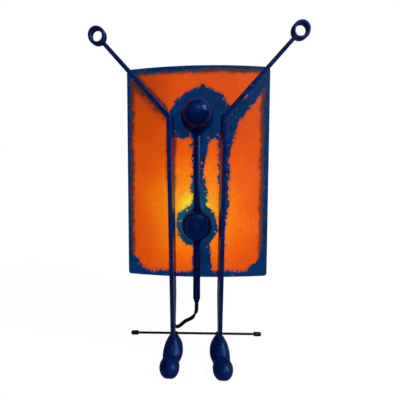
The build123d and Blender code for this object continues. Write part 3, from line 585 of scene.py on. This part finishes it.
# Rough edges, from a slow wander down to a fine fray. Each form of the stain is a number of millimetres that
# is above nothing inside it, and these are added to it.
cell_middle = 0.42
wander = screen.noise(26.0, 3.0, place=sheet_place) - 0.5
ragged = screen.noise(110.0, 5.0, 0.68, place=sheet_place) - 0.5
fray = screen.noise(480.0, 4.0, 0.75, place=sheet_place) - 0.5
lobes = cell_middle - screen.cells(72.0, place=sheet_place)
teeth = screen.cells(300.0, place=sheet_place) - cell_middle
hairs = screen.noise(300.0, 4.0, 0.7, place=screen.mapped((1, 1, 0.12), sheet_place)) - 0.5
edge_noise = wander * 12.0 + ragged * 24.0 + lobes * 16.0 + teeth * 8.0 + fray * 7.0
border_noise = wander * 14.0 + ragged * 16.0 + lobes * 6.0


def bubble_row(middle, half):
    """Where a row of bubbles runs in the top border."""
    return abs(sheet_x - middle).rise(half, half - 3.0)


def pool(middle_x, middle_z, radius):
    """How far inside a round pool a place lies."""
    return radius - ((sheet_x - middle_x) ** 2.0 + (sheet_z - middle_z) ** 2.0) ** 0.5


bubble_rows = bubble_row(-1.0, 17.0).most(bubble_row(57.0, 15.0))
top_width = 8.0 - 3.0 * sheet_x.rise(-60.0, 60.0)
left_edge = 5.0 - from_left + border_noise * 0.35
right_edge = 8.0 - from_right + border_noise * 0.35
top_edge = top_width - from_top + border_noise * 0.25 + 3.0 * bubble_rows
low_edge = 8.5 - from_low + border_noise * 0.30 + hairs * 20.0
left_corner = 30.0 - from_left * 0.80 - from_low * 0.75 + edge_noise * 0.45
right_corner = 30.0 - from_right * 0.85 - from_low * 0.65 + edge_noise * 0.45
head_pool = pool(4.0, head_z, 44.0).least(sheet_z - 296.0) + edge_noise * 0.45
belly_pool = pool(0.0, belly_z, 30.0) + edge_noise * 0.35
under_belly = sheet_z.rise(165.0, 135.0)
band_middle = 3.0 + 4.0 * under_belly + wander * 8.0
band_half = 10.5 + 3.0 * sheet_z.rise(250.0, 290.0) + 4.0 * under_belly - 60.0 * sheet_z.rise(330.0, 350.0)
band = band_half - abs(sheet_x - band_middle) + edge_noise * 0.50
leg_reach = 38.0 + 8.0 * sheet_z.rise(120.0, 250.0) + 9.0 * sheet_z.rise(255.0, 320.0)
leg_reach = leg_reach - 40.0 * sheet_z.rise(325.0, 350.0)
leg_line = (leg_reach - sheet_x).least(sheet_x - 30.0) + edge_noise * 0.42
arm_drop = 319.0 + 1.05 * (abs(sheet_x) - 42.0) - sheet_z
arm_reach = 15.0 - 6.0 * sheet_x.rise(58.0, 98.0) - 40.0 * sheet_x.rise(42.0, 34.0)
arm_band = (arm_reach - arm_drop).least(arm_drop + 12.0) * 0.7 + edge_noise * 0.40
borders = left_edge.most(right_edge, top_edge, low_edge, left_corner, right_corner)
stain = borders.most(head_pool, belly_pool, band, leg_line, arm_band)

# Pin-holes along the rims let the orange through, and two rows of bubbles stand in the top border.
bubble_pitch = 5.8
bubble_radius = 2.3
bubble_z = 387.6
holes = screen.cells(150.0, place=sheet_place).rise(0.27, 0.19)
clumps = (ragged - 0.07 * sheet_z.rise(260.0, 200.0)).rise(-0.05, 0.01)
pins = holes * stain.rise(9.0, 6.0) * stain.rise(0.6, 1.6) * clumps
along_row = screen.maths("FLOORED_MODULO", sheet_x, bubble_pitch) - bubble_pitch / 2
off_row = sheet_z - bubble_z - wander * 8.0
bubble = bubble_radius + wander * 2.5 - (along_row ** 2.0 + off_row ** 2.0) ** 0.5
bubbles = bubble.rise(-0.2, 0.2) * bubble_rows
bubble_rims = abs(bubble + 0.4).rise(0.9, 0.4) * bubble_rows
covered = stain.rise(-0.35, 0.35) * (1.0 - pins) * (1.0 - bubbles)

# Painted shade: outside the left leg and along both sides of the left arm the glow is darkened softly, where
# the limb shades the sheet. It is also darker within about 12 mm inside the side borders and under the top
# border, and round the stain's and the bubbles' rims.
beside_leg = 8.5 - 4.5 * sheet_z.rise(250.0, 190.0) - abs(sheet_x + 36.5) - 40.0 * sheet_z.rise(312.0, 325.0)
beside_arm = 12.5 - abs(arm_drop + 11.0) - 40.0 * sheet_x.rise(-42.0, -36.0)
side_width = 12.0 + 3.0 * sheet_x.rise(-10.0, 10.0)
soft_edge = (side_width - (half_chord - abs(sheet_x))).most(12.0 - from_top)
soft = beside_leg.most(beside_arm, soft_edge) + wander * 6.0 + ragged * 10.0
# A wider, patchy painted shade along the left arm.
arm_shade_grain = 0.75 + 2.6 * ragged + 1.6 * wander
painted_arm_shade = (20.0 - abs(arm_drop + 8.0)).rise(0.0, 14.0) * arm_shade_grain * sheet_x.rise(-34.0, -44.0)
stain_rim = stain.rise(-4.0, 0.0) * 0.35
painted_shade_and_rims = soft.rise(-1.5, 5.5).most(painted_arm_shade.least(0.8), stain_rim, bubble_rims * 0.5)

# The painted glow is brightest in front of the bulb and falls to deep orange, and to a darker, browner one at
# the far left.
hot_radius = 29.0
glow_far = (((sheet_x + 4.0) * 1.05) ** 2.0 + (sheet_z - bulb_z) ** 2.0) ** 0.5
hot = 1.0 / (1.0 + (glow_far / hot_radius) ** 2.0)
grain = screen.noise(330.0, 4.0, 0.65, place=sheet_place)
clouds = screen.noise(15.0, 3.0, place=sheet_place)
amber_glow = screen.ramp(
    hot + 0.16 * (clouds - 0.5) * (1.0 - hot) + 0.05 * (grain - 0.5),
    (0.00, (0.620, 0.056, 0.0006)),
    (0.07, (0.780, 0.086, 0.0012)),
    (0.12, (0.880, 0.122, 0.0020)),
    (0.19, (0.960, 0.190, 0.0045)),
    (0.34, (0.980, 0.250, 0.0060)),
    (0.52, (0.980, 0.360, 0.0120)),
    (0.68, (0.990, 0.600, 0.0200)),
    (0.85, (1.000, 0.760, 0.0500)),
)
far_left = sheet_x.rise(-15.0, -75.0) * (0.16 + 0.14 * sheet_z.rise(240.0, 340.0))
amber_glow = screen.mix(far_left, amber_glow, (0.0, 0.0, 0.0))
speckled = screen.mix(grain.rise(0.64, 0.40) * 0.20, amber_glow, (0.46, 0.040, 0.0005))
dimmed = screen.mix(painted_shade_and_rims * 0.92, speckled, (0.012, 0.010, 0.014))

# The stain lets a little of the painted glow through: navy in two depths, and teal glow near the bulb and at
# its rims.
deep = screen.noise(60.0, 4.0, 0.6, place=sheet_place)
deep_patch = deep.rise(0.35, 0.65).most(sheet_z.rise(135.0, 105.0))
navy = screen.mix(deep_patch, (0.0006, 0.0150, 0.0500), (0.0008, 0.0225, 0.1150))
patchy = 0.55 + 0.45 * deep.rise(0.2, 0.6)
near_bulb = hot.rise(0.16, 0.50) * patchy * (0.45 + 0.55 * sheet_x.rise(18.0, -6.0))
teal = screen.mix(near_bulb.most(stain.rise(3.0, 0.0) * 0.25), navy, (0.004, 0.085, 0.150))
front_face = screen.mix(covered, dimmed, teal)
# The back of the sheet gets its own paler, warmer painted glow.
back_face = screen.mix(0.55, front_face, (0.34, 0.10, 0.02))
screen.link(Emission_Color=screen.mix(through_sheet.rise(0.9, 1.4), front_face, back_face))
screen.link(Base_Color=screen.mix(covered, (0.030, 0.008, 0.002), (0.0010, 0.0040, 0.0120)))
screen.link(Roughness=0.42 + 0.2 * grain)
screen.bump(grain * 0.5 + covered * 0.5, 0.00012)
screen.onto("screen")

# Back plate: a 2 mm steel sheet rolled like the screen, which clamps it against the limbs, the body tube and
# the head. It and the bulb's bracket are powder-coated matt black.
powder = Finish("black_powder_coat", Specular_IOR_Level=0.4)
orange_peel = powder.noise(700.0, 2.0)
dusty = powder.noise(30.0, 4.0).rise(0.45, 0.75)
powder.link(Base_Color=powder.mix(dusty, (0.008, 0.008, 0.009), (0.022, 0.021, 0.020)))
powder.link(Roughness=0.45 + 0.2 * dusty)
powder.bump(orange_peel, 0.00012)
powder.onto("back_plate", "bracket")


# Body tube: 10 mm steel tube in two lengths, between the head, the knob's housing and the tapered end cap
# that the cord leaves by. It is enamelled like the limbs, thinly at the cap.
def cap_wear(finish):
    """The tapered end cap and the tube just above it."""
    return finish.axes()[2].rise(76.0, 71.0) * 0.6


blue_enamel("tube_enamel", 0.16, cap_wear).onto("spine_lower", "spine_upper", "spine_cap")

# Belly: a turned housing, enamelled like the limbs, with the rotary dimmer inside. Its domed knob is a
# glossier moulding, dulled by fingers, with a painted highlight on its rim and round its dimple, and turns on
# the dimmer's steel shaft.
blue_enamel("housing_enamel", 0.05).onto("belly_housing")
knob_middle = 175.0


def gloss_moulding(name, marks=None):
    """Deep blue gloss moulding, dulled by fingers. Marks give its relief and where a painted highlight
    lightens it.
    """
    finish = Finish(name, Specular_IOR_Level=0.14, Specular_Tint=(0.12, 0.45, 1.0, 1.0))
    finger = finish.noise(120.0, 3.0).rise(0.4, 0.7)
    relief = finish.noise(260.0, 2.0) * 0.12
    blue = finish.mix(finger, (0.0003, 0.0072, 0.060), (0.0006, 0.0120, 0.088))
    if marks:
        raised, rubbed = marks(finish)
        relief = relief + raised
        # Painted highlight: the marks' second mask lightens the blue on the rim and round the dimple.
        blue = finish.mix(rubbed, blue, (0.0045, 0.030, 0.125))
    finish.link(Base_Color=blue)
    finish.link(Roughness=0.24 + 0.14 * finger)
    finish.bump(relief, 0.0007)
    return finish


def knob_marks(finish):
    """A finger dimple in the knob's middle and a fine raised rim, both lightened by a painted highlight."""
    across, _, height = finish.axes(finish.on_sheet())
    far = (across ** 2.0 + (height - knob_middle) ** 2.0) ** 0.5
    rim = abs(far - 15.4).rise(1.3, 0.3)
    lip = abs(far - 3.2).rise(1.4, 0.3)
    patchy = finish.noise(90.0, 3.0).rise(0.35, 0.6)
    return rim * 0.7 - far.rise(3.4, 1.8) * 1.2, (rim * patchy).most(lip) * 0.8


gloss_moulding("knob_gloss", knob_marks).onto("belly_knob")
bakelite = Finish("black_moulding", Specular_IOR_Level=0.45)
swirl = bakelite.noise(240.0, 3.0)
bakelite.link(Base_Color=bakelite.mix(swirl, (0.007, 0.007, 0.007), (0.018, 0.016, 0.015)))
bakelite.link(Roughness=0.36 + 0.2 * swirl)
bakelite.bump(swirl, 0.00005)
bakelite.onto("switch_body", "belly_base")
shaft_steel = Finish("shaft_steel", Metallic=1.0)
turned_marks = shaft_steel.noise(1400.0, 2.0, place=shaft_steel.mapped((1, 0.1, 1)))
shaft_steel.link(Base_Color=shaft_steel.mix(turned_marks, (0.45, 0.44, 0.42), (0.62, 0.61, 0.58)))
shaft_steel.link(Roughness=0.25 + 0.2 * turned_marks)
shaft_steel.onto("switch_shaft")

# Head: a ball of the knob's gloss moulding, screwed onto a stud that runs back through its cup, the screen
# and the back plate. It clamps the turned cup, which is enamelled like the limbs.
blue_enamel("cup_enamel", 0.01).onto("head_cup")
gloss_moulding("ball_gloss").onto("head_ball")

# Lampholder: a plain white moulding on the bracket's shelf, yellowed by heat towards the bulb. A brass sleeve
# and contact inside it take the small screw cap of the bulb.
holder = Finish("holder_moulding", Specular_IOR_Level=0.45)
heat = holder.axes()[2].rise(130.0, 165.0)
mould = holder.noise(300.0, 3.0)
holder.link(Base_Color=holder.mix(heat * 0.8 + 0.2 * mould, (0.72, 0.71, 0.67), (0.60, 0.53, 0.42)))
holder.link(Roughness=0.38 + 0.2 * mould)
holder.bump(mould, 0.00005)
holder.onto("holder_shell", "holder_insert")
brass = Finish("contact_brass", Metallic=1.0)
tarnish = brass.noise(200.0, 4.0)
brass.link(Base_Color=brass.mix(tarnish.rise(0.4, 0.7), (0.66, 0.47, 0.18), (0.34, 0.22, 0.09)))
brass.link(Roughness=0.28 + 0.25 * tarnish)
brass.onto("holder_sleeve", "holder_contact")

# Bulb: a small warm globe of opal glass with a glass stem inside, lit. It sits in a threaded metal cap that
# unscrews from the holder.
opal = Finish("opal_glass", Specular_IOR_Level=0.5, Emission_Strength=1.6)
above_cap = opal.axes()[2].rise(165.0, 200.0)
milk = opal.noise(160.0, 2.0)
opal.link(Emission_Color=opal.mix(above_cap, (0.85, 0.42, 0.12), (1.0, 0.80, 0.48)))
opal.link(Base_Color=opal.mix(milk, (0.80, 0.77, 0.70), (0.86, 0.84, 0.79)))
opal.link(Roughness=0.16 + 0.1 * milk)
opal.onto("bulb_glass")
cap_metal = Finish("bulb_cap_metal", Metallic=1.0)
stamped = cap_metal.noise(350.0, 3.0)
cap_metal.link(Base_Color=cap_metal.mix(stamped, (0.55, 0.53, 0.50), (0.72, 0.70, 0.66)))
cap_metal.link(Roughness=0.24 + 0.2 * stamped)
cap_metal.onto("bulb_cap")
stem_glass = Finish("stem_glass")
stem_cloud = stem_glass.noise(300.0, 2.0)
stem_glass.link(Base_Color=stem_glass.mix(stem_cloud, (0.75, 0.76, 0.74), (0.85, 0.85, 0.82)))
stem_glass.link(Roughness=0.15 + 0.1 * stem_cloud)
stem_glass.onto("bulb_stem")

# Leads: round black vinyl leads from the dimmer. One runs down inside the body tube to the cord, and one runs
# round behind the screen to the lampholder.
lead_finish = Finish("lead_vinyl", Specular_IOR_Level=0.4)
lead_scuff = lead_finish.noise(200.0, 3.0)
lead_finish.link(Base_Color=lead_finish.mix(lead_scuff, (0.005, 0.005, 0.006), (0.014, 0.014, 0.015)))
lead_finish.link(Roughness=0.4 + 0.15 * lead_scuff)
lead_finish.bump(lead_scuff, 0.00003)
lead_finish.onto("lead_spine", "lead_lamp")
